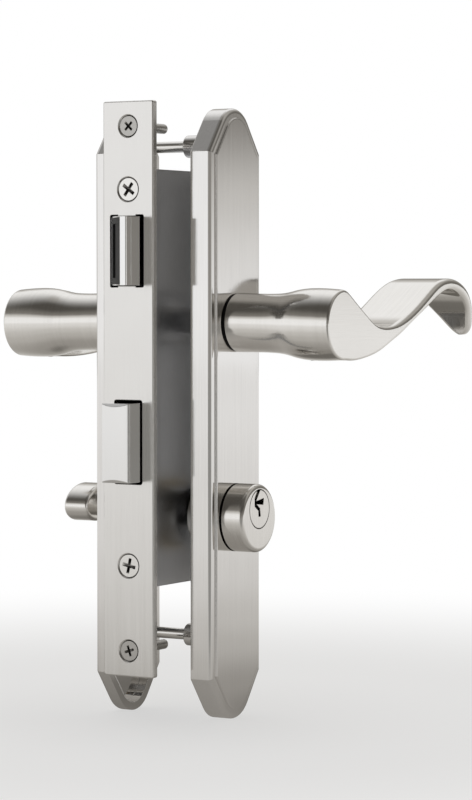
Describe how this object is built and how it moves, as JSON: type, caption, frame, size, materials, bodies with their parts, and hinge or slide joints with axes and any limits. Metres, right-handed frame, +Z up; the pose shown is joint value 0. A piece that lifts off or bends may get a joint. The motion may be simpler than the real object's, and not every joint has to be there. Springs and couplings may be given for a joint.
{
  "type": "door lever lockset",
  "caption": "Mortise lever lockset for a thin door: long escutcheons, wave levers, bevelled spring latch, deadbolt, key cylinder and oval thumbturn",
  "frame": {"origin": "on the spindle's axis, half way through the door", "axes": "+X out of the exterior side along the spindle, -Y out of the door's edge, +Z up"},
  "size_m": [0.137, 0.1474, 0.2202],
  "materials": {
    "satin_nickel": "satin nickel plate over cast zinc or steel, brushed",
    "bright_nickel": "nickel plate, polished",
    "black_nylon": "moulded, satin",
    "brass": "turned or stamped, bare",
    "zinc_plated_steel": "stamped or turned, zinc plated",
    "spring_steel": "bare, oiled"
  },
  "bodies": {
    "lock": {"exterior_escutcheon": "satin_nickel", "exterior_lever_bushing": "black_nylon", "interior_escutcheon": "satin_nickel", "interior_lever_bushing": "black_nylon", "through_screws": "satin_nickel", "cylinder_housing": "satin_nickel", "driver_pins": "brass", "pin_springs": "spring_steel", "pin_chamber_cover": "brass", "cylinder_nut": "brass", "faceplate": "satin_nickel", "edge_screws": "satin_nickel", "case_screws": "satin_nickel", "lock_case": "zinc_plated_steel", "case_cover": "zinc_plated_steel", "cover_screws": "zinc_plated_steel", "latch_spring": "spring_steel", "hub_return_spring": "spring_steel", "deadbolt_leaf_spring": "spring_steel"},
    "levers": {"exterior_lever": "satin_nickel", "interior_lever": "satin_nickel", "spindle": "zinc_plated_steel", "follower_hub": "zinc_plated_steel", "exterior_retaining_ring": "spring_steel", "interior_retaining_ring": "spring_steel", "lever_set_screw": "zinc_plated_steel"},
    "latch": {"latch_bolt": "bright_nickel", "latch_bevel_pad": "black_nylon"},
    "thumbturn": {"thumbturn": "satin_nickel", "thumbturn_clip": "spring_steel", "deadbolt_hub": "zinc_plated_steel"},
    "key_plug": {"cylinder_plug": "bright_nickel", "key_pins": "brass", "cylinder_tailpiece": "brass", "plug_retainer": "spring_steel"},
    "deadbolt": {"deadbolt": "bright_nickel"}
  },
  "joints": [
    {"name": "lever_turn", "type": "hinge", "parent": "lock", "child": "levers", "pos_m": [0, 0, 0], "axis": [-1, 0, 0], "range_deg": [0, 40], "stiffness_Nm_per_rad": 1.2, "springref_deg": -34.38, "deforming": ["hub_return_spring", "latch_spring"]},
    {"name": "latch_slide", "type": "slide", "parent": "lock", "child": "latch", "axis": [0, 1, 0], "range_m": [0, 0.0102], "deforming": ["latch_spring"]},
    {"name": "thumbturn_turn", "type": "hinge", "parent": "lock", "child": "thumbturn", "pos_m": [0, 0, -0.0664], "axis": [-1, 0, 0], "range_deg": [0, 90]},
    {"name": "deadbolt_slide", "type": "slide", "parent": "lock", "child": "deadbolt", "axis": [0, 1, 0], "range_m": [0, 0.0095]},
    {"name": "key_turn", "type": "hinge", "parent": "lock", "child": "key_plug", "pos_m": [0, 0, -0.0664], "axis": [-1, 0, 0], "range_deg": [0, 90]}
  ],
  "couplings": [
    {"joint": "latch_slide", "follows": "lever_turn", "m_per_rad": 0.01461},
    {"joint": "thumbturn_turn", "follows": "deadbolt_slide", "rad_per_m": 165.35},
    {"joint": "key_turn", "follows": "deadbolt_slide", "rad_per_m": 165.35}
  ]
}
